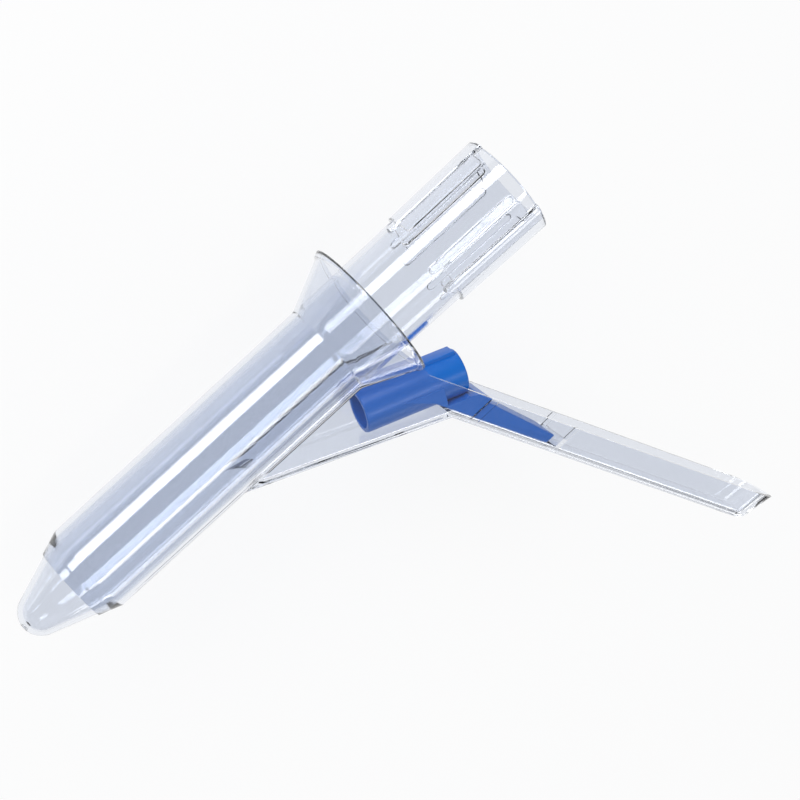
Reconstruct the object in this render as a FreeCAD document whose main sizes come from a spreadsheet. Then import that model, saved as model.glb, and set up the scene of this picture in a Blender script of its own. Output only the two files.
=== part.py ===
import FreeCAD, Part
import Sketcher
import math
import os

# Clear moulded proctoscope: a sheath with a channel handle, a hollow obturator and a blue light holder.
# Scope frame of every piece: x runs along the barrel from its distal rim towards the operator,
# y points away from the handle and z is the side that faces up when the scope lies on a table.

# Numbers nearer than NEAR count as equal, and points nearer than CLOSE as one place
NEAR = 1e-6
CLOSE = 1e-3

doc = FreeCAD.newDocument("proctoscope")
sheet = doc.addObject("Spreadsheet::Sheet", "sizes")


class Dim:
    """A length or angle that knows its number and the expression that ties it to the sheet."""

    def __init__(self, value, text):
        self.value = value
        self.text = text

    def _join(self, other, sign, value):
        return Dim(value, f"({self.text} {sign} {as_dim(other).text})")

    def __add__(self, other):
        return self._join(other, "+", self.value + as_dim(other).value)

    def __sub__(self, other):
        return self._join(other, "-", self.value - as_dim(other).value)

    def __mul__(self, other):
        return self._join(other, "*", self.value * as_dim(other).value)

    def __truediv__(self, other):
        return self._join(other, "/", self.value / as_dim(other).value)

    def __neg__(self):
        return Dim(-self.value, f"(0 - {self.text})")


def as_dim(number):
    return number if isinstance(number, Dim) else Dim(float(number), repr(float(number)))


def trig(name, angle):
    function = {"sin": math.sin, "cos": math.cos, "tan": math.tan}[name]
    return Dim(function(math.radians(angle.value)), f"{name}({angle.text})")


rows = 0


def size(alias, value):
    """Writes one driving size to the sheet and returns it."""
    global rows
    rows += 1
    sheet.set(f"A{rows}", alias)
    sheet.set(f"B{rows}", str(value))
    sheet.setAlias(f"B{rows}", alias)
    return Dim(value, f"sizes.{alias}")


# Barrel of the sheath
rim_bore_r = size("rim_bore_r", 8.65)
rim_edge = size("rim_edge", 0.3)
tip_taper = size("tip_taper", 19.5)
tube_tip_r = size("tube_tip_r", 10.8)
tube_r = size("tube_r", 11.0)
tube_wall = size("tube_wall", 1.1)
throat_x = size("throat_x", 74.7)
mouth_x = size("mouth_x", 87.9)
mouth_r = size("mouth_r", 17.1)
lip_bead = size("lip_bead", 0.35)
lip_length = size("lip_length", 1.4)

# Handle, a channel open towards the operator, and the gusset that carries it on the barrel
channel_width = size("channel_width", 11.0)
side_wall = size("side_wall", 1.3)
floor_wall = size("floor_wall", 1.3)
handle_lean = size("handle_lean", 27.0)
handle_depth = size("handle_depth", 8.25)
handle_start = size("handle_start", 18.6)
handle_reach = size("handle_reach", 110.3)
end_wall = size("end_wall", 1.3)
end_draft = size("end_draft", 1.6)
gusset_foot = size("gusset_foot", 44.7)
gusset_angle = size("gusset_angle", 25.5)
outer_round = size("outer_round", 5.0)
edge_round = size("edge_round", 1.0)
inner_round = size("inner_round", 0.5)
stop_reach = size("stop_reach", 55.0)
stop_wall = size("stop_wall", 1.1)
stop_height = size("stop_height", 3.0)
stop_proud = size("stop_proud", 0.3)
rib_reach = size("rib_reach", 33.6)
rib_width = size("rib_width", 1.8)
rib_proud = size("rib_proud", 0.5)

# Obturator
seat_gap = size("seat_gap", 0.12)
dome_r = size("dome_r", 5.2)
vent_r = size("vent_r", 0.7)
shell_wall = size("shell_wall", 1.2)
collar_r = size("collar_r", 10.95)
grip_x = size("grip_x", 103.5)
grip_length = size("grip_length", 25.3)
grip_base_r = size("grip_base_r", 11.3)
grip_end_r = size("grip_end_r", 11.75)
grip_step = size("grip_step", 0.5)
pad_height = size("pad_height", 0.7)
pad_angle = size("pad_angle", 88.0)
border_height = size("border_height", 0.35)
border_angle = size("border_angle", 125.0)
border_inset = size("border_inset", 2.6)
strip_proud = size("strip_proud", 0.25)
strip_angle = size("strip_angle", 10.6)
strip_lead = size("strip_lead", 2.8)
inner_strip_turn = size("inner_strip_turn", 38.4)
outer_strip_turn = size("outer_strip_turn", 68.0)
strip_inset = size("strip_inset", 3.4)
pad_count = 2
obturator_turn = size("obturator_turn", -36.0)

# Light holder
holder_r = size("holder_r", 5.15)
holder_bore_r = size("holder_bore_r", 4.0)
holder_length = size("holder_length", 25.4)
holder_angle = size("holder_angle", 23.0)
holder_gap = size("holder_gap", 0.2)
holder_x = size("holder_x", 71.3)
holder_offset = size("holder_offset", 16.33)
holder_chamfer = size("holder_chamfer", 0.4)
free_length = size("free_length", 6.4)
rail_length = size("rail_length", 8.2)
rail_proud = size("rail_proud", 0.45)
rail_width = size("rail_width", 4.0)
rail_inset = size("rail_inset", 0.7)
tongue_gap = size("tongue_gap", 0.3)
stop_gap = size("stop_gap", 1.8)
tongue_root = size("tongue_root", 5.0)
tongue_tip = size("tongue_tip", 2.7)
tongue_round = size("tongue_round", 0.6)
neck_land = size("neck_land", 3.0)

doc.recompute()

zero = as_dim(0)
taper_slope = trig("tan", tip_taper)
lean_slope = trig("tan", handle_lean)
gusset_slope = trig("tan", gusset_angle)


def level_plane(body):
    """The body's own plane through the barrel's axis and the handle, in which every outline lies."""
    return next(feature for feature in body.Origin.OriginFeatures if feature.Role == "XY_Plane")


def tie(sketch, constraint, dim):
    index = sketch.addConstraint(constraint)
    sketch.setExpression(f"Constraints[{index}]", dim.text)


def pin_point(sketch, index, end, corner):
    """Ties one end of a side to its place, measured from the sketch's origin."""
    for kind, dim, axis in (("DistanceX", corner[0], -2), ("DistanceY", corner[1], -1)):
        if abs(dim.value) < NEAR:
            sketch.addConstraint(Sketcher.Constraint("PointOnObject", index, end, axis))
        elif dim.value > 0:
            tie(sketch, Sketcher.Constraint(kind, -1, 1, index, end, dim.value), dim)
        else:
            tie(sketch, Sketcher.Constraint(kind, index, end, -1, 1, -dim.value), -dim)


def outline(body, name, corners, arcs=()):
    """A closed sketch through the corners; arcs names the sides that bend, by (side, radius, middle)."""
    sketch = body.newObject("Sketcher::SketchObject", name)
    sketch.AttachmentSupport = (level_plane(body), "")
    sketch.MapMode = "FlatFace"
    bends = {side: (radius, middle) for side, radius, middle in arcs}
    places = [FreeCAD.Vector(u.value, v.value, 0) for u, v in corners]
    ends = {}
    for side, start in enumerate(places):
        end = places[(side + 1) % len(places)]
        if side in bends:
            through = FreeCAD.Vector(bends[side][1][0], bends[side][1][1], 0)
            forward = (through - start).cross(end - through).z > 0
            curve = Part.Arc(start, through, end) if forward else Part.Arc(end, through, start)
            index = sketch.addGeometry(curve, False)
            ends[side] = (index, 1, 2) if forward else (index, 2, 1)
        else:
            index = sketch.addGeometry(Part.LineSegment(start, end), False)
            ends[side] = (index, 1, 2)
    for side in range(len(places)):
        index, _, last = ends[side]
        following, first, _ = ends[(side + 1) % len(places)]
        sketch.addConstraint(Sketcher.Constraint("Coincident", index, last, following, first))
    for side, corner in enumerate(corners):
        index, first, _ = ends[side]
        pin_point(sketch, index, first, corner)
    for side, (radius, _) in bends.items():
        tie(sketch, Sketcher.Constraint("Radius", ends[side][0], radius.value), radius)
    return sketch


def revolve(body, kind, sketch, angle=None):
    """Turns a sketch about its own x axis, all round or by an angle centred on the sketch."""
    feature = body.newObject(f"PartDesign::{kind}", f"{sketch.Name}_turned")
    feature.Profile = sketch
    feature.ReferenceAxis = (sketch, ["H_Axis"])
    feature.Angle = 360
    if angle:
        feature.Angle = angle.value
        feature.setExpression("Angle", angle.text)
        feature.Midplane = True
    doc.recompute()
    return feature


def repeat_round(body, feature, sketch, count):
    pattern = body.newObject("PartDesign::PolarPattern", f"{feature.Name}_pattern")
    pattern.Originals = [feature]
    pattern.Axis = (sketch, ["H_Axis"])
    pattern.Angle = 360
    pattern.Occurrences = count
    body.Tip = pattern
    doc.recompute()
    return pattern


def extrude(body, kind, sketch, width):
    """A pad or pocket of the given width, half of it on each side of the sketch."""
    feature = body.newObject(f"PartDesign::{kind}", f"{sketch.Name}_{kind.lower()}")
    feature.Profile = sketch
    feature.Length = width.value
    feature.setExpression("Length", width.text)
    feature.Midplane = True
    doc.recompute()
    return feature


def round_edges(body, feature, edges, radius):
    fillet = body.newObject("PartDesign::Fillet", f"{feature.Name}_round")
    fillet.Base = (feature, edges)
    fillet.Radius = radius.value
    fillet.setExpression("Radius", radius.text)
    doc.recompute()
    return fillet


def side_edges(shape, half, keep):
    """Names of the straight edges that lie half a width from the middle and whose ends both satisfy keep."""
    names = []
    for number, edge in enumerate(shape.Edges, 1):
        ends = [vertex.Point for vertex in edge.Vertexes]
        beside = all(abs(abs(end.z) - half.value) < CLOSE for end in ends)
        along = isinstance(edge.Curve, Part.Line) and abs(ends[0].z - ends[-1].z) < CLOSE
        if beside and along and all(keep(end) for end in ends):
            names.append(f"Edge{number}")
    return names


def cross_edges(shape, x, reach):
    """Names of the edges that run straight across the scope through one point of its side view."""
    return [
        f"Edge{number}"
        for number, edge in enumerate(shape.Edges, 1)
        if all(math.hypot(end.Point.x - x.value, end.Point.y + reach.value) < CLOSE for end in edge.Vertexes)
    ]


def handle_top(m):
    return mouth_x + (m - handle_start) * lean_slope


def handle_floor(m, raised):
    """The underside of the handle, raised by a wall measured square to it."""
    return handle_top(m) - handle_depth + raised / trig("cos", handle_lean)


def under_handle(raised):
    """A test for points on or beyond the underside of the handle and the gusset, raised by a wall."""
    return lambda point: point.x < handle_floor(as_dim(-point.y), raised).value + CLOSE


def past_reach(reach):
    return lambda point: -point.y > reach.value - CLOSE


def knee(raised):
    """Where the gusset's floor meets the handle's, as x and reach from the axis."""
    start = mouth_x - handle_depth + raised / trig("cos", handle_lean) - handle_start * lean_slope
    base = tube_r - gusset_foot * gusset_slope - raised / trig("cos", gusset_angle)
    reach = (base + gusset_slope * start) / (as_dim(1) - gusset_slope * lean_slope)
    return start + lean_slope * reach, reach


def side(points):
    """Points given as x and reach from the axis, on the handle's side of the scope."""
    return [(x, -reach) for x, reach in points]


# Where the barrel's cones meet its tube, outside and inside
shoulder_x = (tube_tip_r - rim_bore_r - rim_edge) / taper_slope
bore_tip_r = tube_tip_r - tube_wall
bore_r = tube_r - tube_wall
inner_shoulder_x = (bore_tip_r - rim_bore_r) / taper_slope
mouth_bore_r = mouth_r - tube_wall
flare_slope = (mouth_r - tube_r) / (mouth_x - throat_x)

# Centre of the obturator's dome, which runs smoothly into the cone behind it
dome_x = (dome_r / trig("cos", tip_taper) - rim_bore_r + seat_gap) / taper_slope


def build_sheath():
    body = doc.addObject("PartDesign::Body", "sheath")
    body.Label = "sheath"
    inside = bore_tip_r / 2
    gusset_start = gusset_foot + (inside - tube_r) / gusset_slope
    knee_x, knee_reach = knee(zero)
    low_reach = handle_reach - end_draft
    width = channel_width + side_wall * 2

    block = outline(body, "handle_side", side([
        (gusset_start, inside),
        (knee_x, knee_reach),
        (handle_floor(low_reach, zero), low_reach),
        (handle_top(handle_reach), handle_reach),
        (mouth_x, handle_start),
        (mouth_x, inside),
    ]))
    extrude(body, "Pad", block, width)

    rib_far = rib_reach + rib_width
    rib = outline(body, "rib_side", side([
        (handle_floor(rib_reach, floor_wall), rib_reach),
        (handle_floor(rib_far, floor_wall), rib_far),
        (handle_top(rib_far) - rib_proud, rib_far),
        (handle_top(rib_reach) - rib_proud, rib_reach),
    ]))
    extrude(body, "Pad", rib, width + rib_proud * 2)

    floor_x, floor_reach = knee(floor_wall)
    well_reach = inside / 2
    well_start = gusset_foot + (well_reach - tube_r + floor_wall / trig("cos", gusset_angle)) / gusset_slope
    end_reach = low_reach - end_wall
    over = handle_depth
    well = outline(body, "channel_side", side([
        (well_start, well_reach),
        (floor_x, floor_reach),
        (handle_floor(end_reach, floor_wall), end_reach),
        (handle_top(handle_reach) + over, handle_reach - end_wall),
        (mouth_x + over, handle_start),
        (mouth_x + over, well_reach),
    ]))
    solid = extrude(body, "Pocket", well, channel_width)
    for half, keep, radius in (
        (width / 2, past_reach(low_reach), outer_round),
        (channel_width / 2, past_reach(end_reach), outer_round - side_wall),
        (width / 2, under_handle(zero), edge_round),
        (channel_width / 2, under_handle(floor_wall), inner_round),
    ):
        solid = round_edges(body, solid, side_edges(solid.Shape, half, keep), radius)

    stop_far = stop_reach + stop_wall
    stop = outline(body, "stop_side", side([
        (handle_floor(stop_reach, floor_wall / 2), stop_reach),
        (handle_floor(stop_far, floor_wall / 2), stop_far),
        (handle_top(stop_far), stop_far),
        (handle_top(stop_reach), stop_reach),
    ]))
    extrude(body, "Pad", stop, channel_width + side_wall)
    notch_near = stop_reach - stop_wall
    notch_far = stop_far + stop_wall
    notch = outline(body, "stop_notch_side", side([
        (handle_floor(notch_near, floor_wall) + stop_height, notch_near),
        (handle_floor(notch_far, floor_wall) + stop_height, notch_far),
        (handle_top(notch_far) + over, notch_far),
        (handle_top(notch_near) + over, notch_near),
    ]))
    extrude(body, "Pocket", notch, channel_width - stop_proud * 2)

    barrel = outline(body, "barrel_outside", [
        (zero, zero),
        (zero, rim_bore_r + rim_edge),
        (shoulder_x, tube_tip_r),
        (throat_x, tube_r),
        (mouth_x - lip_length, mouth_r - lip_length * flare_slope),
        (mouth_x - lip_length, mouth_r + lip_bead - lip_length * flare_slope),
        (mouth_x, mouth_r + lip_bead),
        (mouth_x, zero),
    ])
    turned = revolve(body, "Revolution", barrel)
    lumen = outline(body, "barrel_inside", [
        (-tube_wall, zero),
        (-tube_wall, rim_bore_r - tube_wall * taper_slope),
        (inner_shoulder_x, bore_tip_r),
        (throat_x, bore_r),
        (mouth_x + tube_wall, mouth_bore_r + tube_wall * flare_slope),
        (mouth_x + tube_wall, zero),
    ])
    body.Tip = revolve(body, "Groove", lumen)
    print("sheath before and after the lumen", round(turned.Shape.Volume), round(body.Tip.Shape.Volume))
    return body


def on_dome(centre_x, radius, angle):
    """A point of the dome, by its angle from the tip."""
    return centre_x.value - radius.value * math.cos(angle), radius.value * math.sin(angle)


def dome_depth(radius, hole_r):
    """How far ahead of its centre the dome reaches when a hole takes its tip away."""
    depth = math.sqrt(radius.value ** 2 - hole_r.value ** 2)
    return Dim(depth, f"sqrt({radius.text} ^ 2 - {hole_r.text} ^ 2)")


def build_obturator():
    body = doc.addObject("PartDesign::Body", "obturator")
    body.Label = "obturator"
    rim_r = rim_bore_r - seat_gap
    shaft_tip_r = bore_tip_r - seat_gap
    shaft_r = bore_r - seat_gap
    collar_x = throat_x + (collar_r - shaft_r) / flare_slope
    middle = math.radians((90 - tip_taper.value) / 2)
    cone_wall = shell_wall / trig("cos", tip_taper)

    def section(name, wall, across, end_x):
        """Half of the shell's outline, drawn in by the wall, which the cone meets at a slant."""
        radius = dome_r - wall
        return outline(body, name, [
            (dome_x - dome_depth(radius, tip_flat), zero),
            (dome_x - dome_depth(radius, tip_flat), tip_flat),
            (dome_x - radius * trig("sin", tip_taper), radius * trig("cos", tip_taper)),
            ((shaft_tip_r - wall - rim_r + across) / taper_slope, shaft_tip_r - wall),
            (throat_x, shaft_r - wall),
            (collar_x, collar_r - wall),
            (grip_x, grip_base_r - wall),
            (end_x, grip_end_r - wall),
            (end_x, zero),
        ], arcs=[(1, radius, on_dome(dome_x, radius, middle))])

    grip_end = grip_x + grip_length
    tip_flat = vent_r / 2
    solid = revolve(body, "Revolution", section("shell_outside", zero, zero, grip_end))
    shell = revolve(body, "Groove", section("shell_inside", shell_wall, cone_wall, grip_end))
    vent = outline(body, "vent_section", [
        (dome_x - dome_r - shell_wall, zero),
        (dome_x - dome_r - shell_wall, vent_r),
        (dome_x - dome_r + shell_wall * 2, vent_r),
        (dome_x - dome_r + shell_wall * 2, zero),
    ])
    revolve(body, "Groove", vent)
    print("obturator before and after its hollow", round(solid.Shape.Volume), round(shell.Shape.Volume))
    pad_x = grip_x + grip_step
    draft = (grip_end_r - grip_base_r) / grip_length
    strip_x = pad_x - strip_lead
    for name, height, angle, start, end, turns in (
        ("border", border_height, border_angle, pad_x, grip_end - border_inset, [zero]),
        ("pad", pad_height, pad_angle, pad_x, grip_end, [zero]),
        ("inner_strip", pad_height + strip_proud, strip_angle, strip_x, grip_end,
         [inner_strip_turn, -inner_strip_turn]),
        ("outer_strip", border_height + strip_proud, strip_angle, strip_x, grip_end - strip_inset,
         [outer_strip_turn, -outer_strip_turn]),
    ):
        start_r = grip_base_r + (start - grip_x) * draft
        end_r = grip_base_r + (end - grip_x) * draft
        for turn in turns:
            raised = outline(body, f"{name}_section", [
                (start, start_r - shell_wall / 2),
                (start, start_r + height),
                (end, end_r + height),
                (end, end_r - shell_wall / 2),
            ])
            raised.AttachmentOffset = FreeCAD.Placement(
                FreeCAD.Vector(), FreeCAD.Rotation(FreeCAD.Vector(1, 0, 0), turn.value)
            )
            if turn is not zero:
                raised.setExpression("AttachmentOffset.Rotation.Angle", turn.text)
            sector = revolve(body, "Revolution", raised, angle)
            repeat_round(body, sector, raised, pad_count)
    return body


def beside_holder(along, across):
    """A point of the side view, by its place along the light holder's bore and how far it lies below it."""
    down = trig("sin", holder_angle)
    level = trig("cos", holder_angle)
    return holder_x + along * level - across * down, holder_offset + along * down + across * level


def place_on_holder_axis(sketch):
    """Moves a sketch so that its own x axis is the light holder's bore."""
    turn = FreeCAD.Rotation(FreeCAD.Vector(0, 0, 1), -holder_angle.value)
    sketch.AttachmentOffset = FreeCAD.Placement(FreeCAD.Vector(holder_x.value, -holder_offset.value, 0), turn)
    sketch.setExpression("AttachmentOffset.Base.x", holder_x.text)
    sketch.setExpression("AttachmentOffset.Base.y", (-holder_offset).text)
    sketch.setExpression("AttachmentOffset.Rotation.Angle", (-holder_angle).text)
    doc.recompute()


def build_holder():
    body = doc.addObject("PartDesign::Body", "light_holder")
    body.Label = "light_holder"
    neck_width = channel_width - holder_gap * 2
    tongue_width = neck_width - stop_proud * 2

    tongue_end = stop_reach - stop_gap
    low = floor_wall + tongue_gap
    floor_reach = knee(low)[1]
    neck_start = floor_reach - holder_bore_r
    neck_end = rib_reach + rib_width / 2
    free_start = holder_length - free_length
    buried = holder_r - (holder_r - holder_bore_r) / 2
    tongue_root_reach = floor_reach + tongue_gap
    tongue = outline(body, "tongue_side", side([
        (handle_floor(tongue_root_reach, low), tongue_root_reach),
        (handle_floor(tongue_end, low), tongue_end),
        (handle_floor(tongue_end, low) + tongue_tip, tongue_end),
        (handle_floor(neck_end, low) + tongue_root, neck_end),
        (handle_floor(tongue_root_reach, low) + tongue_root, tongue_root_reach),
    ]))
    solid = extrude(body, "Pad", tongue, tongue_width)
    corners = cross_edges(solid.Shape, handle_floor(tongue_end, low), tongue_end)
    corners += cross_edges(solid.Shape, handle_floor(tongue_end, low) + tongue_tip, tongue_end)
    round_edges(body, solid, corners, tongue_round)
    neck_low = low + holder_gap / 2
    neck_x, neck_reach = knee(neck_low)
    neck = outline(body, "neck_side", side([
        (handle_floor(neck_start, neck_low), neck_start),
        (neck_x, neck_reach),
        (handle_floor(neck_end, neck_low), neck_end),
        (handle_top(neck_end) - tongue_gap, neck_end),
        (handle_top(neck_end - neck_land) - tongue_gap, neck_end - neck_land),
        beside_holder(holder_length - holder_chamfer, buried),
        beside_holder(free_start, buried),
        beside_holder(free_start, zero),
        beside_holder(free_start - holder_r * 2, zero),
    ]))
    solid = extrude(body, "Pad", neck, neck_width)
    round_edges(body, solid, side_edges(solid.Shape, neck_width / 2, under_handle(neck_low)), inner_round)

    tube = outline(body, "tube_outside", [
        (zero, zero),
        (zero, holder_r),
        (holder_length, holder_r),
        (holder_length, zero),
    ])
    place_on_holder_axis(tube)
    revolve(body, "Revolution", tube)
    rail_end = holder_length - rail_inset
    rail = outline(body, "rail_side", [
        (rail_end - rail_length, buried),
        (rail_end - rail_length, holder_r + rail_proud),
        (rail_end, holder_r + rail_proud),
        (rail_end, buried),
    ])
    place_on_holder_axis(rail)
    solid = extrude(body, "Pad", rail, rail_width)
    rims = [
        f"Edge{number}"
        for number, edge in enumerate(solid.Shape.Edges, 1)
        if isinstance(edge.Curve, Part.Circle) and any(
            math.hypot(edge.Curve.Center.x - x.value, edge.Curve.Center.y + reach.value) < CLOSE
            for x, reach in (beside_holder(zero, zero), beside_holder(holder_length, zero))
        )
    ]
    chamfer = body.newObject("PartDesign::Chamfer", "tube_ends")
    chamfer.Base = (solid, rims)
    chamfer.Size = holder_chamfer.value
    chamfer.setExpression("Size", holder_chamfer.text)
    doc.recompute()
    bore = outline(body, "tube_bore", [
        (-holder_chamfer, zero),
        (-holder_chamfer, holder_bore_r),
        (holder_length + holder_chamfer, holder_bore_r),
        (holder_length + holder_chamfer, zero),
    ])
    place_on_holder_axis(bore)
    body.Tip = revolve(body, "Groove", bore)
    return body


sheath = build_sheath()
obturator = build_obturator()
holder = build_holder()

# The row's origin lies under the middle of the whole scope, on the table that carries the mouth's lip
nose_x = dome_x - dome_depth(dome_r, vent_r)
widest = mouth_r + lip_bead
shift = (
    -(nose_x + handle_top(handle_reach)) / 2,
    (handle_reach - widest) / 2,
    widest,
)
for body in (sheath, obturator, holder):
    turn = obturator_turn.value if body is obturator else 0
    base = FreeCAD.Vector(*(dim.value for dim in shift))
    body.Placement = FreeCAD.Placement(base, FreeCAD.Rotation(FreeCAD.Vector(1, 0, 0), turn))
    for letter, dim in zip("xyz", shift):
        body.setExpression(f"Placement.Base.{letter}", dim.text)
obturator.setExpression("Placement.Rotation.Angle", obturator_turn.text)
doc.recompute()

for item in doc.Objects:
    if "Invalid" in item.State or "Error" in item.State:
        raise RuntimeError(f"{item.Label} failed: {item.State}")
    if item.isDerivedFrom("PartDesign::Feature") and item.Shape.Volume < NEAR:
        raise RuntimeError(f"{item.Label} holds nothing")

os.makedirs("parts", exist_ok=True)
for body in (sheath, obturator, holder):
    shape = body.Shape
    if shape.isNull() or not shape.isValid() or len(shape.Solids) != 1:
        raise RuntimeError(f"{body.Label} is not one sound solid")
    shape.exportStep(f"parts/{body.Label}.step")
    print(body.Label, round(shape.Volume), shape.BoundBox)
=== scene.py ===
import bpy, bmesh, math
from mathutils import Matrix, Vector


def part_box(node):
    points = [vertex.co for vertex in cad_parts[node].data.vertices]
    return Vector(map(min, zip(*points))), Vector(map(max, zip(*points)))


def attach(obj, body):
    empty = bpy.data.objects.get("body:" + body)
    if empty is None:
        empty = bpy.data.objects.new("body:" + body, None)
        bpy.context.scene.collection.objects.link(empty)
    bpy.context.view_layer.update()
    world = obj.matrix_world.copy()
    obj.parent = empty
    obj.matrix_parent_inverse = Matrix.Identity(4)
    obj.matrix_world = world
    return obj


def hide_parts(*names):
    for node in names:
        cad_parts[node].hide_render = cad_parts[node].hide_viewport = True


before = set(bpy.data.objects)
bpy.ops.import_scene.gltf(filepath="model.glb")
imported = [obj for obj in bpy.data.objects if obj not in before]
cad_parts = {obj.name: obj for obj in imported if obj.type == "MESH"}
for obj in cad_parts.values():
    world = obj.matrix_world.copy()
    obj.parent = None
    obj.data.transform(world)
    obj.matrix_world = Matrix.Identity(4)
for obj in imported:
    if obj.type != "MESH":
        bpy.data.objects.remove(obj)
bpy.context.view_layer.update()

# A clear proctoscope lying on its side, with its obturator in and a blue light holder clipped in.
MM = 0.001

# The scope's own frame: x from the distal rim towards the operator, the axis level above the table.
sheath_low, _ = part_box("sheath")
obturator_low, obturator_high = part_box("obturator")
RIM_X = sheath_low[0]
AXIS_Y = (obturator_low[1] + obturator_high[1]) / 2
AXIS_Z = (obturator_low[2] + obturator_high[2]) / 2
SCOPE_TO_TABLE = Matrix.Translation((RIM_X, AXIS_Y, AXIS_Z)) @ Matrix.Scale(MM, 4)

# Sizes of the three mouldings, in millimetres and degrees.
RIM_BORE_R = 8.65
RIM_EDGE = 0.3
TIP_TAPER = 19.5
TUBE_TIP_R = 10.8
TUBE_R = 11.0
TUBE_WALL = 1.1
THROAT_X = 74.7
MOUTH_X = 87.9
MOUTH_R = 17.1
LIP_BEAD = 0.35
LIP_LENGTH = 1.4
SHOULDER_ROUND = 2.0
ROOT_INSET = 0.02

CHANNEL_WIDTH = 11.0
SIDE_WALL = 1.3
FLOOR_WALL = 1.3
HANDLE_LEAN = 27.0
HANDLE_DEPTH = 8.25
HANDLE_START = 18.6
HANDLE_REACH = 110.3
END_WALL = 1.3
END_DRAFT = 1.6
GUSSET_FOOT = 44.7
GUSSET_ANGLE = 25.5
OUTER_ROUND = 5.0
EDGE_ROUND = 1.0
INNER_ROUND = 0.5
STOP_REACH = 55.0
STOP_WALL = 1.1
STOP_HEIGHT = 3.0
STOP_PROUD = 0.3
STOP_DROP = 0.18
RIB_REACH = 33.6
RIB_WIDTH = 1.8
RIB_PROUD = 0.5

SEAT_GAP = 0.12
DOME_R = 5.2
VENT_R = 0.7
SHELL_WALL = 1.2
COLLAR_R = 10.95
GRIP_X = 103.5
GRIP_LENGTH = 25.3
GRIP_BASE_R = 11.3
GRIP_END_R = 11.75
GRIP_STEP = 0.5
PAD_HEIGHT = 0.7
PAD_ANGLE = 88.0
BORDER_HEIGHT = 0.35
BORDER_ANGLE = 125.0
BORDER_INSET = 2.6
STRIP_PROUD = 0.25
STRIP_ANGLE = 10.6
STRIP_LEAD = 2.8
INNER_STRIP_TURN = 38.4
OUTER_STRIP_TURN = 68.0
STRIP_INSET = 3.4
PATCH_CORNER = 1.2
PATCH_EDGE = 0.22
OBTURATOR_TURN = -36.0
SHAFT_ROUND = 3.0
BORE_ROUND = 2.0
GRIP_END_ROUND = 0.35
VENT_OUTER_ROUND = 0.15
VENT_INNER_ROUND = 0.1

HOLDER_R = 5.15
HOLDER_BORE_R = 4.0
HOLDER_LENGTH = 25.4
HOLDER_ANGLE = 23.0
HOLDER_GAP = 0.2
HOLDER_X = 71.3
HOLDER_OFFSET = 16.33
HOLDER_EDGE = 0.4
FREE_LENGTH = 6.4
RAIL_LENGTH = 8.2
RAIL_PROUD = 0.45
RAIL_WIDTH = 4.0
RAIL_INSET = 0.7
TONGUE_GAP = 0.3
STOP_GAP = 1.8
TONGUE_ROOT = 5.0
TONGUE_TIP = 2.7
TONGUE_ROUND = 0.6
NECK_LAND = 3.0
SOFT_EDGE = 0.22

# How finely the curves are cut, and how near counts as the same.
OBTURATOR_SEGMENTS = 600
SHEATH_SEGMENTS = 200
HOLDER_SEGMENTS = 150
CORNER_STEPS = 10
EDGE_STEPS = 4
SOFT_STEPS = 3
DOME_STEPS = 14
SHARP_ANGLE = math.radians(40)
SAME_POINT = 1e-4
NEAR = 0.01
APART = 1.0
PARALLEL = 1e-3

TAPER_SLOPE = math.tan(math.radians(TIP_TAPER))
LEAN_SLOPE = math.tan(math.radians(HANDLE_LEAN))
LEAN_COS = math.cos(math.radians(HANDLE_LEAN))
GUSSET_SLOPE = math.tan(math.radians(GUSSET_ANGLE))
GUSSET_COS = math.cos(math.radians(GUSSET_ANGLE))
FLARE_SLOPE = (MOUTH_R - TUBE_R) / (MOUTH_X - THROAT_X)
BORE_TIP_R = TUBE_TIP_R - TUBE_WALL
BORE_R = TUBE_R - TUBE_WALL
GRIP_END = GRIP_X + GRIP_LENGTH


def handle_top(reach):
    """The x of the handle's open side, at a reach from the axis."""
    return MOUTH_X + (reach - HANDLE_START) * LEAN_SLOPE


def handle_floor(reach, raised):
    """The x of the handle's underside, or of what lies raised above it, at a reach."""
    return handle_top(reach) - HANDLE_DEPTH + raised / LEAN_COS


def knee(raised):
    """Where the gusset's floor meets the handle's, as x and reach from the axis."""
    start = handle_floor(0, raised)
    base = TUBE_R - GUSSET_FOOT * GUSSET_SLOPE - raised / GUSSET_COS
    reach = (base + GUSSET_SLOPE * start) / (1 - GUSSET_SLOPE * LEAN_SLOPE)
    return start + LEAN_SLOPE * reach, reach


# Node trees

def geometry_tree(name, sizes):
    """An empty tree with a mesh going in and out, and a named input for each size."""
    tree = bpy.data.node_groups.new(name, "GeometryNodeTree")
    tree.interface.new_socket("Geometry", in_out="INPUT", socket_type="NodeSocketGeometry")
    tree.interface.new_socket("Geometry", in_out="OUTPUT", socket_type="NodeSocketGeometry")
    for label, kind in sizes:
        tree.interface.new_socket(label, in_out="INPUT", socket_type=f"NodeSocket{kind}")
    return tree, tree.nodes.new("NodeGroupInput"), tree.nodes.new("NodeGroupOutput")


def maths(tree, operation, *values):
    """One sum on the given numbers or sockets."""
    node = tree.nodes.new("ShaderNodeMath")
    node.operation = operation
    for socket, value in zip(node.inputs, values):
        if isinstance(value, (int, float)):
            socket.default_value = value
        else:
            tree.links.new(value, socket)
    return node.outputs[0]


def polar(tree, radius, angle, target):
    """Links a radius and an angle round the x axis to a vector's Y and Z."""
    for operation, label in (("COSINE", "Y"), ("SINE", "Z")):
        part = maths(tree, "MULTIPLY", radius, maths(tree, operation, angle))
        tree.links.new(part, target.inputs[label])


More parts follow.
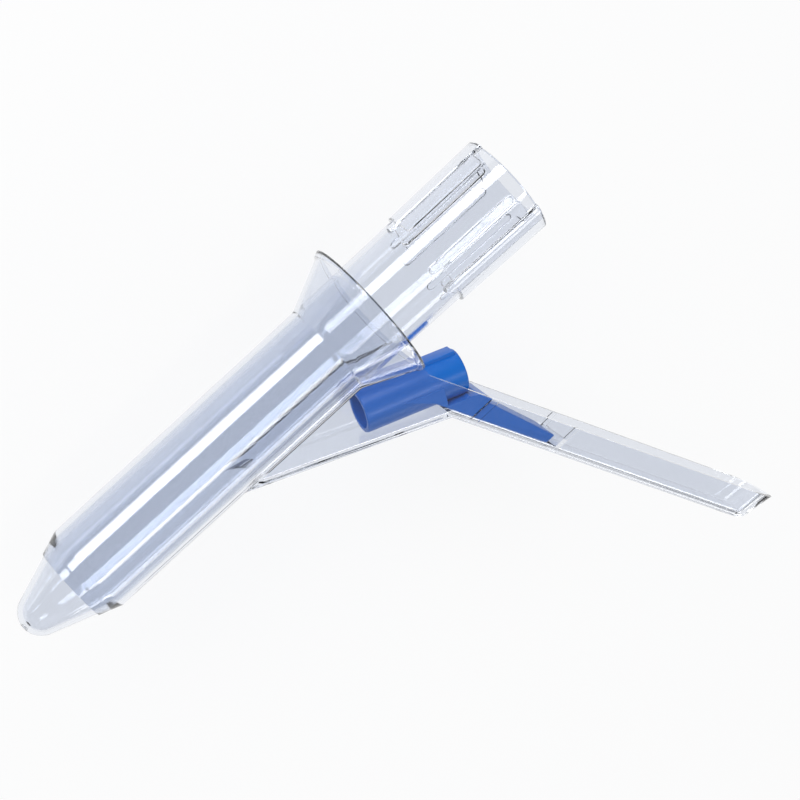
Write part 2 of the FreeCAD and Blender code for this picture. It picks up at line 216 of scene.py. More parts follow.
def finish_tree(tree, inputs, outputs, geometry):
    """Ends a tree in plain geometry with its material."""
    realize = tree.nodes.new("GeometryNodeRealizeInstances")
    paint = tree.nodes.new("GeometryNodeSetMaterial")
    tree.links.new(geometry, realize.inputs["Geometry"])
    tree.links.new(realize.outputs["Geometry"], paint.inputs["Geometry"])
    tree.links.new(inputs.outputs["Material"], paint.inputs["Material"])
    tree.links.new(paint.outputs["Geometry"], outputs.inputs["Geometry"])


def turning_tree():
    """Turns a row of profile points, given as x and radius, into a skin round the x axis."""
    tree, inputs, outputs = geometry_tree("turned_skin", [
        ("Rows", "Int"), ("Segments", "Int"), ("Material", "Material"),
    ])
    grid = tree.nodes.new("GeometryNodeMeshGrid")
    around = maths(tree, "ADD", inputs.outputs["Segments"], 1)
    tree.links.new(inputs.outputs["Rows"], grid.inputs["Vertices X"])
    tree.links.new(around, grid.inputs["Vertices Y"])
    index = tree.nodes.new("GeometryNodeInputIndex").outputs[0]
    row = maths(tree, "FLOOR", maths(tree, "DIVIDE", maths(tree, "ADD", index, 0.5), around))
    step = maths(tree, "SUBTRACT", index, maths(tree, "MULTIPLY", row, around))
    share = maths(tree, "DIVIDE", step, inputs.outputs["Segments"])
    angle = maths(tree, "MULTIPLY", share, 2 * math.pi)
    sample = tree.nodes.new("GeometryNodeSampleIndex")
    sample.data_type = "FLOAT_VECTOR"
    place = tree.nodes.new("GeometryNodeInputPosition").outputs[0]
    tree.links.new(inputs.outputs["Geometry"], sample.inputs["Geometry"])
    tree.links.new(place, sample.inputs["Value"])
    tree.links.new(row, sample.inputs["Index"])
    profile = tree.nodes.new("ShaderNodeSeparateXYZ")
    tree.links.new(sample.outputs[0], profile.inputs[0])
    spot = tree.nodes.new("ShaderNodeCombineXYZ")
    tree.links.new(profile.outputs["X"], spot.inputs["X"])
    polar(tree, profile.outputs["Y"], angle, spot)
    move = tree.nodes.new("GeometryNodeSetPosition")
    tree.links.new(grid.outputs["Mesh"], move.inputs["Geometry"])
    tree.links.new(spot.outputs[0], move.inputs["Position"])
    close = tree.nodes.new("GeometryNodeMergeByDistance")
    close.inputs["Distance"].default_value = SAME_POINT
    tree.links.new(move.outputs["Geometry"], close.inputs["Geometry"])
    finish_tree(tree, inputs, outputs, close.outputs["Geometry"])
    return tree


PATCH_SIZES = ("Turn", "Half Angle", "Start", "End", "Height", "Corner", "Edge")


def patch_group():
    """How high a patch with rounded corners raises a point, from its place on the grip."""
    tree = bpy.data.node_groups.new("raised_patch", "GeometryNodeTree")
    for label in ("Along", "Around", "Radius", *PATCH_SIZES):
        tree.interface.new_socket(label, in_out="INPUT", socket_type="NodeSocketFloat")
    tree.interface.new_socket("Raise", in_out="OUTPUT", socket_type="NodeSocketFloat")
    inputs = tree.nodes.new("NodeGroupInput").outputs
    outputs = tree.nodes.new("NodeGroupOutput")
    aside = maths(tree, "ABSOLUTE", inputs["Around"])
    off = maths(tree, "ABSOLUTE", maths(tree, "SUBTRACT", aside, inputs["Turn"]))
    beyond = maths(tree, "SUBTRACT", off, inputs["Half Angle"])
    across = maths(tree, "MULTIPLY", beyond, inputs["Radius"])
    before = maths(tree, "SUBTRACT", inputs["Start"], inputs["Along"])
    after = maths(tree, "SUBTRACT", inputs["Along"], inputs["End"])
    along = maths(tree, "MAXIMUM", before, after)
    out_across = maths(tree, "MAXIMUM", maths(tree, "ADD", across, inputs["Corner"]), 0)
    out_along = maths(tree, "MAXIMUM", maths(tree, "ADD", along, inputs["Corner"]), 0)
    squares = maths(
        tree, "ADD", maths(tree, "POWER", out_across, 2), maths(tree, "POWER", out_along, 2),
    )
    away = maths(tree, "SUBTRACT", maths(tree, "SQRT", squares), inputs["Corner"])
    fade = tree.nodes.new("ShaderNodeMapRange")
    fade.interpolation_type = "SMOOTHSTEP"
    tree.links.new(away, fade.inputs["Value"])
    tree.links.new(maths(tree, "MULTIPLY", inputs["Edge"], -1), fade.inputs["From Min"])
    fade.inputs["From Max"].default_value = 0
    fade.inputs["To Min"].default_value = 1
    fade.inputs["To Max"].default_value = 0
    raised = maths(tree, "MULTIPLY", fade.outputs[0], inputs["Height"])
    tree.links.new(raised, outputs.inputs["Raise"])
    return tree


def patches_tree(names):
    """Raises the named patches on the outside of a turned skin, alike on its two opposite sides."""
    sizes = [(f"{name} {label}", "Float") for name in names for label in PATCH_SIZES]
    tree, inputs, outputs = geometry_tree("raised_patches", [
        ("Centre", "Float"), ("Least Radius", "Float"), ("Material", "Material"), *sizes,
    ])
    place = tree.nodes.new("ShaderNodeSeparateXYZ")
    tree.links.new(tree.nodes.new("GeometryNodeInputPosition").outputs[0], place.inputs[0])
    x, y, z = place.outputs
    angle = maths(tree, "ARCTAN2", z, y)
    turn = maths(tree, "SUBTRACT", angle, inputs.outputs["Centre"])
    around = maths(tree, "WRAP", turn, math.pi / 2, -math.pi / 2)
    squares = maths(tree, "ADD", maths(tree, "POWER", y, 2), maths(tree, "POWER", z, 2))
    radius = maths(tree, "SQRT", squares)
    group = patch_group()
    highest = None
    for name in names:
        patch = tree.nodes.new("GeometryNodeGroup")
        patch.node_tree = group
        tree.links.new(x, patch.inputs["Along"])
        tree.links.new(around, patch.inputs["Around"])
        tree.links.new(radius, patch.inputs["Radius"])
        for label in PATCH_SIZES:
            tree.links.new(inputs.outputs[f"{name} {label}"], patch.inputs[label])
        raised = patch.outputs["Raise"]
        highest = maths(tree, "MAXIMUM", highest, raised) if highest else raised
    outside = maths(tree, "GREATER_THAN", radius, inputs.outputs["Least Radius"])
    raised = maths(tree, "MULTIPLY", highest, outside)
    offset = tree.nodes.new("ShaderNodeCombineXYZ")
    polar(tree, raised, angle, offset)
    move = tree.nodes.new("GeometryNodeSetPosition")
    tree.links.new(inputs.outputs["Geometry"], move.inputs["Geometry"])
    tree.links.new(offset.outputs[0], move.inputs["Offset"])
    finish_tree(tree, inputs, outputs, move.outputs["Geometry"])
    return tree


def add_tree(piece, tree, values):
    """Puts a tree on a piece, with its inputs set by their identifiers."""
    modifier = piece.modifiers.new(tree.name, "NODES")
    modifier.node_group = tree
    for item in tree.interface.items_tree:
        if item.in_out == "INPUT" and item.name in values:
            modifier[item.identifier] = values[item.name]


# Mesh tools, all in the scope's frame in millimetres

def settle(piece):
    """Makes what a piece's modifiers give its own plain mesh."""
    graph = bpy.context.evaluated_depsgraph_get()
    made = bpy.data.meshes.new_from_object(piece.evaluated_get(graph))
    piece.modifiers.clear()
    piece.data = made


def edit(piece, change=None):
    """Runs a change, if any, on a piece's mesh and leaves its faces pointing outwards."""
    mesh = bmesh.new()
    mesh.from_mesh(piece.data)
    if change:
        change(mesh)
    bmesh.ops.recalc_face_normals(mesh, faces=mesh.faces)
    mesh.to_mesh(piece.data)
    mesh.free()


def new_piece(name, points, faces=()):
    """A new object with the given points and faces."""
    data = bpy.data.meshes.new(name)
    data.from_pydata(points, [], faces)
    piece = bpy.data.objects.new(name, data)
    bpy.context.collection.objects.link(piece)
    return piece


def rounded(corners, steps=EDGE_STEPS):
    """A closed profile whose corners, given as x, radius and round, are replaced by arcs."""
    points = []
    for number, (x, radius, bend) in enumerate(corners):
        here = Vector((x, radius))
        if bend <= 0:
            points.append(tuple(here))
            continue
        back = Vector(corners[number - 1][:2]) - here
        ahead = Vector(corners[(number + 1) % len(corners)][:2]) - here
        half = back.angle(ahead) / 2
        run = bend / math.tan(half)
        inwards = (back.normalized() + ahead.normalized()).normalized()
        centre = here + inwards * (bend / math.sin(half))
        start = here + back.normalized() * run - centre
        turn = start.angle_signed(here + ahead.normalized() * run - centre)
        for step in range(steps + 1):
            part = -turn * step / steps
            spoke = Vector((
                start.x * math.cos(part) - start.y * math.sin(part),
                start.x * math.sin(part) + start.y * math.cos(part),
            ))
            points.append(tuple(centre + spoke))
    return points


def turned(name, profile, material, segments, closed=True):
    """A skin turned round the x axis; a closed profile comes back to its first point."""
    loop = [*profile, profile[0]] if closed else profile
    piece = new_piece(name, [(x, radius, 0) for x, radius in loop])
    add_tree(piece, TURNING, {"Rows": len(loop), "Segments": segments, "Material": material})
    settle(piece)
    edit(piece)
    return piece


def prism(name, points, width):
    """A slab across the scope, from the x and reach of its corners in the side view."""
    count = len(points)
    half = width / 2
    places = [(x, -reach, side) for side in (-half, half) for x, reach in points]
    faces = [tuple(range(count)), tuple(range(2 * count - 1, count - 1, -1))]
    faces += [(i, (i + 1) % count, count + (i + 1) % count, count + i) for i in range(count)]
    piece = new_piece(name, places, faces)
    edit(piece)
    return piece


def soften(piece, keep, radius, steps):
    """Rounds the edges that keep picks from a piece's mesh."""
    def change(mesh):
        edges = [edge for edge in mesh.edges if keep(edge)]
        bmesh.ops.bevel(
            mesh, geom=edges, offset=radius, offset_type="OFFSET", segments=steps, profile=0.5,
            affect="EDGES", clamp_overlap=True,
        )
    edit(piece, change)


def sharp(edge):
    """A test for the edges where two faces meet at a clear angle."""
    return len(edge.link_faces) == 2 and edge.calc_face_angle(0) > SHARP_ANGLE


def end_corner(reach, half):
    """A test for the upright edges at the end of a slab, on its two sides."""
    return lambda edge: all(
        -vert.co.y > reach - NEAR and abs(abs(vert.co.z) - half) < NEAR for vert in edge.verts
    ) and abs(edge.verts[0].co.z - edge.verts[1].co.z) < NEAR


def under_edge(raised):
    """A test for the edges round the underside of the handle and the gusset."""
    knee_x, knee_reach = knee(raised)

    def below(vert):
        reach = -vert.co.y
        if reach < knee_reach:
            line = knee_x - (knee_reach - reach) / GUSSET_SLOPE
        else:
            line = handle_floor(reach, raised)
        return abs(vert.co.x - line) < NEAR * 2

    def keep(edge):
        first, last = (vert.co for vert in edge.verts)
        across = abs(first.z - last.z) > APART and abs(first.y - last.y) < NEAR
        at_end = -first.y > STOP_REACH
        return all(below(vert) for vert in edge.verts) and (at_end or not across)
    return keep


def combine(piece, tool, operation):
    """Adds a tool's shape to a piece, or cuts it out, and throws the tool away."""
    modifier = piece.modifiers.new(operation.lower(), "BOOLEAN")
    modifier.operation = operation
    modifier.solver = "EXACT"
    modifier.object = tool
    settle(piece)
    bpy.data.objects.remove(tool)


def crisp_flats(mesh):
    """Merges a mesh's doubles and keeps its sharp edges and the borders of its flat walls crisp."""
    bmesh.ops.remove_doubles(mesh, verts=mesh.verts, dist=SAME_POINT)
    many = [face for face in mesh.faces if len(face.verts) > 4]
    bmesh.ops.triangulate(mesh, faces=many, ngon_method="EAR_CLIP")
    mesh.normal_update()
    walls = [Vector(way).normalized() for way in (
        (0, 0, 1), (1, 0, 0), (1, LEAN_SLOPE, 0), (GUSSET_SLOPE, 1, 0),
    )]
    for face in mesh.faces:
        face.smooth = True
        face.material_index = 0
    for edge in mesh.edges:
        flats = [face for face in edge.link_faces if any(
            face.normal.cross(wall).length < PARALLEL for wall in walls
        )]
        edge.smooth = not flats and edge.calc_face_angle(0) < SHARP_ANGLE


def finish_piece(piece, node, material):
    """Puts a finished moulding in its place on the table, where it stands for its plain solid."""
    edit(piece, crisp_flats)
    piece.data.transform(SCOPE_TO_TABLE)
    piece.data.materials.clear()
    piece.data.materials.append(material)
    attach(piece, node)
    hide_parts(node)


# The three mouldings

def make_sheath(material):
    """The clear tube with its funnel, and the channel handle on its gusset."""
    width = CHANNEL_WIDTH + SIDE_WALL * 2
    inside = BORE_TIP_R / 2
    low_reach = HANDLE_REACH - END_DRAFT
    end_reach = low_reach - END_WALL
    top_x = MOUTH_X - ROOT_INSET
    block = prism("sheath", [
        (GUSSET_FOOT + (inside - TUBE_R) / GUSSET_SLOPE, inside),
        knee(0),
        (handle_floor(low_reach, 0), low_reach),
        (handle_top(HANDLE_REACH), HANDLE_REACH),
        (top_x, HANDLE_START),
        (top_x, inside),
    ], width)
    soften(block, end_corner(low_reach, width / 2), OUTER_ROUND, CORNER_STEPS)
    soften(block, under_edge(0), EDGE_ROUND, EDGE_STEPS)
    well_reach = inside / 2
    well = prism("well", [
        (GUSSET_FOOT + (well_reach - TUBE_R + FLOOR_WALL / GUSSET_COS) / GUSSET_SLOPE, well_reach),
        knee(FLOOR_WALL),
        (handle_floor(end_reach, FLOOR_WALL), end_reach),
        (handle_top(HANDLE_REACH) + HANDLE_DEPTH, HANDLE_REACH - END_WALL),
        (MOUTH_X + HANDLE_DEPTH, HANDLE_START),
        (MOUTH_X + HANDLE_DEPTH, well_reach),
    ], CHANNEL_WIDTH)
    inner_corner = end_corner(end_reach, CHANNEL_WIDTH / 2)
    soften(well, inner_corner, OUTER_ROUND - SIDE_WALL, CORNER_STEPS)
    soften(well, under_edge(FLOOR_WALL), INNER_ROUND, EDGE_STEPS)
    rib_far = RIB_REACH + RIB_WIDTH
    rib = prism("rib", [
        (handle_floor(RIB_REACH, FLOOR_WALL), RIB_REACH),
        (handle_floor(rib_far, FLOOR_WALL), rib_far),
        (handle_top(rib_far) - RIB_PROUD, rib_far),
        (handle_top(RIB_REACH) - RIB_PROUD, RIB_REACH),
    ], width + RIB_PROUD * 2)
    combine(block, rib, "UNION")
    combine(block, well, "DIFFERENCE")
    stop_far = STOP_REACH + STOP_WALL
    stop = prism("stop", [
        (handle_floor(STOP_REACH, FLOOR_WALL / 2), STOP_REACH),
        (handle_floor(stop_far, FLOOR_WALL / 2), stop_far),
        (handle_top(stop_far) - STOP_DROP, stop_far),
        (handle_top(STOP_REACH) - STOP_DROP, STOP_REACH),
    ], CHANNEL_WIDTH + SIDE_WALL)
    notch_near = STOP_REACH - STOP_WALL
    notch_far = stop_far + STOP_WALL
    notch = prism("stop_notch", [
        (handle_floor(notch_near, FLOOR_WALL) + STOP_HEIGHT, notch_near),
        (handle_floor(notch_far, FLOOR_WALL) + STOP_HEIGHT, notch_far),
        (handle_top(notch_far) + HANDLE_DEPTH, notch_far),
        (handle_top(notch_near) + HANDLE_DEPTH, notch_near),
    ], CHANNEL_WIDTH - STOP_PROUD * 2)
    combine(stop, notch, "DIFFERENCE")
    combine(block, stop, "UNION")
    edit(block, lambda mesh: bmesh.ops.remove_doubles(mesh, verts=mesh.verts, dist=SAME_POINT * 10))

    middle = TUBE_WALL / 2
    core_start = GUSSET_FOOT - TUBE_R * 3
    core = turned("core", [
        (core_start, 0),
        (core_start, BORE_R + middle),
        (THROAT_X, BORE_R + middle),
        (MOUTH_X + TUBE_WALL, MOUTH_R - middle + TUBE_WALL * FLARE_SLOPE),
        (MOUTH_X + TUBE_WALL, 0),
    ], material, SHEATH_SEGMENTS, closed=False)
    combine(block, core, "DIFFERENCE")
    shell = turned("shell", rounded([
        (0, RIM_BORE_R, RIM_EDGE / 3),
        (0, RIM_BORE_R + RIM_EDGE, RIM_EDGE / 3),
        ((TUBE_TIP_R - RIM_BORE_R - RIM_EDGE) / TAPER_SLOPE, TUBE_TIP_R, SHOULDER_ROUND),
        (THROAT_X, TUBE_R, SHOULDER_ROUND),
        (MOUTH_X - LIP_LENGTH, MOUTH_R - LIP_LENGTH * FLARE_SLOPE, LIP_BEAD / 4),
        (MOUTH_X - LIP_LENGTH, MOUTH_R + LIP_BEAD - LIP_LENGTH * FLARE_SLOPE, LIP_BEAD / 2),
        (MOUTH_X, MOUTH_R + LIP_BEAD, LIP_BEAD / 2),
        (MOUTH_X, MOUTH_R - TUBE_WALL, LIP_BEAD),
        (THROAT_X, BORE_R, SHOULDER_ROUND),
        ((BORE_TIP_R - RIM_BORE_R) / TAPER_SLOPE, BORE_TIP_R, SHOULDER_ROUND),
    ]), material, SHEATH_SEGMENTS)
    combine(block, shell, "UNION")
    finish_piece(block, "sheath", material)


def make_obturator(material):
    """The clear hollow plug, from its domed nose to the grip with its raised patches."""
    dome_x = (DOME_R / math.cos(math.radians(TIP_TAPER)) - RIM_BORE_R + SEAT_GAP) / TAPER_SLOPE
    rim_r = RIM_BORE_R - SEAT_GAP
    tip_r = BORE_TIP_R - SEAT_GAP
    shaft_r = BORE_R - SEAT_GAP
    collar_x = THROAT_X + (COLLAR_R - shaft_r) / FLARE_SLOPE
    draft = (GRIP_END_R - GRIP_BASE_R) / GRIP_LENGTH
    dome_end = 90 - TIP_TAPER

    def dome(radius, hole):
        """Points of a dome from its vent to the cone behind it."""
        first = math.degrees(math.asin(hole / radius))
        turns = [(dome_end - first) * step / DOME_STEPS for step in range(DOME_STEPS + 1)]
        angles = [math.radians(first + turn) for turn in turns]
        return [(dome_x - radius * math.cos(angle), radius * math.sin(angle)) for angle in angles]

    def spread(first, last, steps):
        """Evenly spaced places along the grip, on its outside."""
        places = [first + (last - first) * step / steps for step in range(steps + 1)]
        return [(x, GRIP_BASE_R + (x - GRIP_X) * draft, 0) for x in places]

    cone_wall = SHELL_WALL / math.cos(math.radians(TIP_TAPER))
    lead = GRIP_X + GRIP_STEP - STRIP_LEAD
    margin = 0.1
    corner = PATCH_CORNER + margin
    strip_end = GRIP_END - STRIP_INSET
    vent_out, *outside = dome(DOME_R, VENT_R)
    vent_in, *inside = dome(DOME_R - SHELL_WALL, VENT_R)
    profile = rounded([
        (*vent_in, VENT_INNER_ROUND),
        (*vent_out, VENT_OUTER_ROUND),
        *((x, radius, 0) for x, radius in outside),
        ((tip_r - rim_r) / TAPER_SLOPE, tip_r, SHAFT_ROUND),
        (THROAT_X, shaft_r, SHAFT_ROUND),
        (collar_x, COLLAR_R, SHAFT_ROUND),
        # Close rows where the patches rise, and wide ones between.
        *spread(lead - margin, lead + corner, 12),
        *spread(GRIP_X, GRIP_X + corner, 10),
        *spread(GRIP_X + 3, strip_end - corner - 1, 6),
        *spread(strip_end - corner, GRIP_END - 1.5, 24),
        (GRIP_END, GRIP_END_R, GRIP_END_ROUND),
        (GRIP_END, GRIP_END_R - SHELL_WALL, GRIP_END_ROUND),
        (GRIP_X, GRIP_BASE_R - SHELL_WALL, 0),
        (collar_x, COLLAR_R - SHELL_WALL, BORE_ROUND),
        (THROAT_X, shaft_r - SHELL_WALL, BORE_ROUND),
        ((tip_r - SHELL_WALL - rim_r + cone_wall) / TAPER_SLOPE, tip_r - SHELL_WALL, BORE_ROUND),
        *((x, radius, 0) for x, radius in reversed(inside)),
    ])
    piece = turned("obturator", profile, material, OBTURATOR_SEGMENTS)
    values = {
        "Centre": math.radians(OBTURATOR_TURN),
        "Least Radius": GRIP_BASE_R - SHELL_WALL / 2,
        "Material": material,
    }
    start = GRIP_X + GRIP_STEP
    beyond = GRIP_END + PATCH_CORNER * 2
    inner_height = PAD_HEIGHT + STRIP_PROUD
    outer_height = BORDER_HEIGHT + STRIP_PROUD
    patches = {
        "Border": (0, BORDER_ANGLE, start, GRIP_END - BORDER_INSET, BORDER_HEIGHT),
        "Pad": (0, PAD_ANGLE, start, beyond, PAD_HEIGHT),
        "Inner Strip": (INNER_STRIP_TURN, STRIP_ANGLE, lead, beyond, inner_height),
        "Outer Strip": (OUTER_STRIP_TURN, STRIP_ANGLE, lead, strip_end, outer_height),
    }
    for name, (turn, angle, begin, end, height) in patches.items():
        half = math.radians(angle / 2)
        sizes = (math.radians(turn), half, begin, end, height, PATCH_CORNER, PATCH_EDGE)
        values |= {f"{name} {label}": float(value) for label, value in zip(PATCH_SIZES, sizes)}
    add_tree(piece, patches_tree(tuple(patches)), values)
    settle(piece)
    finish_piece(piece, "obturator", material)


def make_holder(material):
    """The blue light tube on its neck, and the tongue that slides into the handle's channel."""
    neck_width = CHANNEL_WIDTH - HOLDER_GAP * 2
    low = FLOOR_WALL + TONGUE_GAP
    floor_reach = knee(low)[1]
    root_reach = floor_reach + TONGUE_GAP
    neck_start = floor_reach - HOLDER_BORE_R
    neck_end = RIB_REACH + RIB_WIDTH / 2
    tongue_end = STOP_REACH - STOP_GAP
    turn = math.radians(HOLDER_ANGLE)

    def beside(along, across):
        """A point of the side view, by its place along the bore and how far it lies below it."""
        return (
            HOLDER_X + along * math.cos(turn) - across * math.sin(turn),
            HOLDER_OFFSET + along * math.sin(turn) + across * math.cos(turn),
        )

    def at_end(edge):
        """A test for the edges at the tongue's thin end."""
        return all(-vert.co.y > tongue_end - NEAR for vert in edge.verts)

    tongue = prism("tongue", [
        (handle_floor(root_reach, low), root_reach),
        (handle_floor(tongue_end, low), tongue_end),
        (handle_floor(tongue_end, low) + TONGUE_TIP, tongue_end),
        (handle_floor(neck_end, low) + TONGUE_ROOT, neck_end),
        (handle_floor(root_reach, low) + TONGUE_ROOT, root_reach),
    ], neck_width - STOP_PROUD * 2)
    soften(tongue, at_end, TONGUE_ROUND, EDGE_STEPS)
    soften(tongue, sharp, SOFT_EDGE, SOFT_STEPS)
    buried = (HOLDER_R + HOLDER_BORE_R) / 2
    neck_low = low + HOLDER_GAP / 2
    free_start = HOLDER_LENGTH - FREE_LENGTH
    neck = prism("neck", [
        (handle_floor(neck_start, neck_low), neck_start),
        knee(neck_low),
        (handle_floor(neck_end, neck_low), neck_end),
        (handle_top(neck_end) - TONGUE_GAP, neck_end),
        (handle_top(neck_end - NECK_LAND) - TONGUE_GAP, neck_end - NECK_LAND),
        beside(HOLDER_LENGTH - HOLDER_EDGE, buried),
        beside(free_start, buried),
        beside(free_start, 0),
        beside(free_start - HOLDER_R * 2, 0),
    ], neck_width)
    soften(neck, sharp, SOFT_EDGE, SOFT_STEPS)
    on_bore = Matrix.Translation((HOLDER_X, -HOLDER_OFFSET, 0)) @ Matrix.Rotation(-turn, 4, "Z")
    tube = turned("light_holder", rounded([
        (0, HOLDER_R, HOLDER_EDGE),
        (HOLDER_LENGTH, HOLDER_R, HOLDER_EDGE),
        (HOLDER_LENGTH, 0, 0),
        (0, 0, 0),
    ]), material, HOLDER_SEGMENTS)
    rail_end = HOLDER_LENGTH - RAIL_INSET
    rail = prism("rail", [
        (rail_end - RAIL_LENGTH, -buried),
        (rail_end - RAIL_LENGTH, -HOLDER_R - RAIL_PROUD),
        (rail_end, -HOLDER_R - RAIL_PROUD),
        (rail_end, -buried),
    ], RAIL_WIDTH)
    soften(rail, sharp, SOFT_EDGE, SOFT_STEPS)
    combine(tube, rail, "UNION")
    tube.data.transform(on_bore)
    combine(tube, neck, "UNION")
    combine(tube, tongue, "UNION")
    past = HOLDER_EDGE * 3
    bore = turned("bore", [
        (-past, 0),
        (-past, HOLDER_BORE_R + past),
        (HOLDER_EDGE / 2, HOLDER_BORE_R),
        (HOLDER_LENGTH - HOLDER_EDGE / 2, HOLDER_BORE_R),
        (HOLDER_LENGTH + past, HOLDER_BORE_R + past),
        (HOLDER_LENGTH + past, 0),
    ], material, HOLDER_SEGMENTS, closed=False)
    bore.data.transform(on_bore)
    combine(tube, bore, "DIFFERENCE")
    finish_piece(tube, "light_holder", material)


# Finishes

CLEAR_TINT = (0.85, 0.875, 0.926)
CLEAR_IOR = 1.59
BLUE = (0.0005, 0.125, 0.5)
BLUE_IOR = 1.5


def new_material(name):
    """A material with nothing but a shader on its output."""
    material = bpy.data.materials.new(name)
    material.use_nodes = True
    tree = material.node_tree
    tree.nodes.clear()
    shader = tree.nodes.new("ShaderNodeBsdfPrincipled")
    output = tree.nodes.new("ShaderNodeOutputMaterial")
    tree.links.new(shader.outputs["BSDF"], output.inputs["Surface"])
    return material, tree, shader, output


def noise(tree, scale, detail):
    """A soft pattern that stays with the piece."""
    place = tree.nodes.new("ShaderNodeTexCoord")
    pattern = tree.nodes.new("ShaderNodeTexNoise")
    pattern.inputs["Scale"].default_value = scale
    pattern.inputs["Detail"].default_value = detail
    tree.links.new(place.outputs["Object"], pattern.inputs["Vector"])
    return pattern.outputs["Fac"]


def vary(tree, factor, low, high):
    """Spreads a pattern over a range of values."""
    spread = tree.nodes.new("ShaderNodeMapRange")
    spread.inputs["To Min"].default_value = low
    spread.inputs["To Max"].default_value = high
    tree.links.new(factor, spread.inputs["Value"])
    return spread.outputs[0]


def add_bump(tree, shader, height, strength, distance):
    """Lets a pattern raise and lower a shader's surface."""
    bump = tree.nodes.new("ShaderNodeBump")
    bump.inputs["Strength"].default_value = strength
    bump.inputs["Distance"].default_value = distance
    tree.links.new(height, bump.inputs["Height"])
    tree.links.new(bump.outputs["Normal"], shader.inputs["Normal"])


def clear_plastic(name):
    """Polished clear polystyrene, faintly blue, with the soft waves that moulding leaves."""
    material, tree, shader, output = new_material(name)
    shader.inputs["Base Color"].default_value = (*CLEAR_TINT, 1)
    shader.inputs["Transmission Weight"].default_value = 1
    shader.inputs["IOR"].default_value = CLEAR_IOR
    polish = vary(tree, noise(tree, scale=260, detail=3), low=0.0, high=0.05)
    tree.links.new(polish, shader.inputs["Roughness"])
    add_bump(tree, shader, noise(tree, scale=90, detail=1), strength=0.06, distance=0.4 * MM)
    # Shadow and diffuse rays pass straight through, so that the lamps reach what lies behind.
    veil = tree.nodes.new("ShaderNodeBsdfTransparent")
    veil.inputs["Color"].default_value = (*(0.5 + part / 2 for part in CLEAR_TINT), 1)
    path = tree.nodes.new("ShaderNodeLightPath").outputs
    mix = tree.nodes.new("ShaderNodeMixShader")
    straight = maths(tree, "MAXIMUM", path["Is Shadow Ray"], path["Is Diffuse Ray"])
    tree.links.new(straight, mix.inputs["Fac"])
    tree.links.new(shader.outputs["BSDF"], mix.inputs[1])
    tree.links.new(veil.outputs["BSDF"], mix.inputs[2])
    tree.links.new(mix.outputs[0], output.inputs["Surface"])
    return material


def blue_plastic():
    """Blue moulded plastic, slightly satin, with a fine grain."""
    material, tree, shader, _ = new_material("blue_plastic")
    shader.inputs["Base Color"].default_value = (*BLUE, 1)
    shader.inputs["IOR"].default_value = BLUE_IOR
    satin = vary(tree, noise(tree, scale=700, detail=3), low=0.26, high=0.4)
    tree.links.new(satin, shader.inputs["Roughness"])
    add_bump(tree, shader, noise(tree, scale=2600, detail=2), strength=0.08, distance=0.05 * MM)
    return material


# The studio

# How the photograph's camera sees the scope, in pixels and degrees.
PICTURE = 800.0
FOCAL = 2286.0
MARK_X = 79.1 * MM
MARK_PIXEL = (341.6, 336.5)
MARK_DISTANCE = 498 * MM
MARK_SCALE = 4590.0
AXIS_RISE = math.radians(42.72)
AXIS_AWAY = math.radians(5.3)
SCOPE_ROLL = math.radians(30.0)
SENSOR = 36.0


def place_camera():
    """Sets the camera from how the scope's axis runs in the picture and how far it is rolled."""
    across = Vector((math.cos(AXIS_RISE), -math.sin(AXIS_RISE), 0))
    down = Vector((math.sin(AXIS_RISE), math.cos(AXIS_RISE), 0))
    towards = Vector((0, 0, -1))
    axis = across * math.cos(AXIS_AWAY) - towards * math.sin(AXIS_AWAY)
    facing = across * math.sin(AXIS_AWAY) + towards * math.cos(AXIS_AWAY)
    up = facing * math.cos(SCOPE_ROLL) + down * math.sin(SCOPE_ROLL)
    handle = down * math.cos(SCOPE_ROLL) - facing * math.sin(SCOPE_ROLL)
    rows = Matrix((axis, -handle, up))
    centre = PICTURE / 2
    offset = Vector((
        (MARK_PIXEL[0] - centre) / MARK_SCALE,
        (MARK_PIXEL[1] - centre) / MARK_SCALE,
        MARK_DISTANCE,
    ))
    mark = Vector((RIM_X + MARK_X, AXIS_Y, AXIS_Z))
    place = rows.to_4x4() @ Matrix.Diagonal((1, -1, -1, 1))
    place.translation = mark - rows @ offset
    data = bpy.data.cameras.new("camera")
    data.sensor_width = SENSOR
    data.lens = SENSOR * FOCAL / PICTURE
    data.clip_start = 1 * MM
    camera = bpy.data.objects.new("camera", data)
    camera.matrix_world = place
    bpy.context.collection.objects.link(camera)
    bpy.context.scene.camera = camera


FLOOR_SIZE = 6.0
FLOOR_SHARE = 0.85
FLOOR_PAINT = 0.85
WORLD_COLOUR = (0.34, 0.35, 0.37)
LAMP_DISTANCE = 0.9
LAMP_LENGTH = 1.2


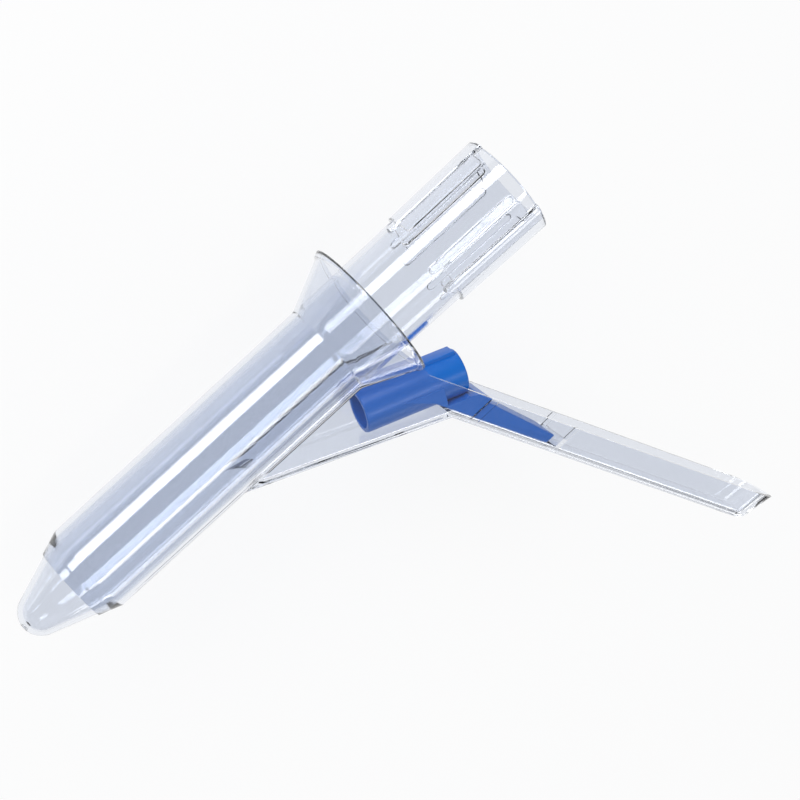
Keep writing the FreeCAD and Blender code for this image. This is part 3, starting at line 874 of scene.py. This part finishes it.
def make_floor():
    """A white table that keeps the scope's shadow."""
    bpy.ops.mesh.primitive_plane_add(size=FLOOR_SIZE)
    floor = bpy.context.object
    floor.name = "floor"
    material = bpy.data.materials.new("floor_white")
    material.use_nodes = True
    tree = material.node_tree
    tree.nodes.clear()
    output = tree.nodes.new("ShaderNodeOutputMaterial")
    paint = tree.nodes.new("ShaderNodeBsdfDiffuse")
    paint.inputs["Color"].default_value = (FLOOR_PAINT, FLOOR_PAINT, FLOOR_PAINT, 1)
    glow = tree.nodes.new("ShaderNodeEmission")
    glow.inputs["Color"].default_value = (1, 1, 1, 1)
    path = tree.nodes.new("ShaderNodeLightPath").outputs
    mirrored = maths(tree, "MAXIMUM", path["Is Glossy Ray"], path["Is Transmission Ray"])
    seen = maths(tree, "MAXIMUM", path["Is Camera Ray"], mirrored)
    mix = tree.nodes.new("ShaderNodeMixShader")
    tree.links.new(maths(tree, "MULTIPLY", seen, FLOOR_SHARE), mix.inputs["Fac"])
    tree.links.new(paint.outputs[0], mix.inputs[1])
    tree.links.new(glow.outputs[0], mix.inputs[2])
    tree.links.new(mix.outputs[0], output.inputs["Surface"])
    floor.data.materials.append(material)


def make_world():
    """An even grey sky."""
    world = bpy.data.worlds.new("studio")
    world.use_nodes = True
    background = world.node_tree.nodes["Background"]
    background.inputs["Color"].default_value = (*WORLD_COLOUR, 1)
    background.inputs["Strength"].default_value = 1
    bpy.context.scene.world = world


def softbox(name, bearing, width, strength):
    """A long flat lamp, level with the scope's axis, at a bearing round it from +Y over the top."""
    data = bpy.data.lights.new(name, "AREA")
    data.shape = "RECTANGLE"
    data.size = LAMP_LENGTH
    data.size_y = width
    data.energy = strength * math.pi * LAMP_LENGTH * width
    lamp = bpy.data.objects.new(name, data)
    turn = math.radians(bearing)
    towards = Vector((0, -math.cos(turn), -math.sin(turn)))
    side = Vector((1, 0, 0))
    facing = Matrix((side, side.cross(towards), -towards)).transposed().to_4x4()
    place = Vector((0, AXIS_Y, AXIS_Z)) - towards * LAMP_DISTANCE
    lamp.matrix_world = Matrix.Translation(place) @ facing
    bpy.context.collection.objects.link(lamp)


place_camera()
make_floor()
make_world()
softbox("low_left", bearing=28, width=0.34, strength=6)
softbox("overhead", bearing=104, width=0.12, strength=5)
softbox("right", bearing=156, width=0.12, strength=4)

TURNING = turning_tree()
make_sheath(clear_plastic("sheath_clear"))
make_obturator(clear_plastic("obturator_clear"))
make_holder(blue_plastic())

scene = bpy.context.scene
scene.view_settings.view_transform = "Standard"
scene.cycles.max_bounces = 32
scene.cycles.transmission_bounces = 28
scene.cycles.glossy_bounces = 12
scene.cycles.transparent_max_bounces = 32
scene.cycles.diffuse_bounces = 4
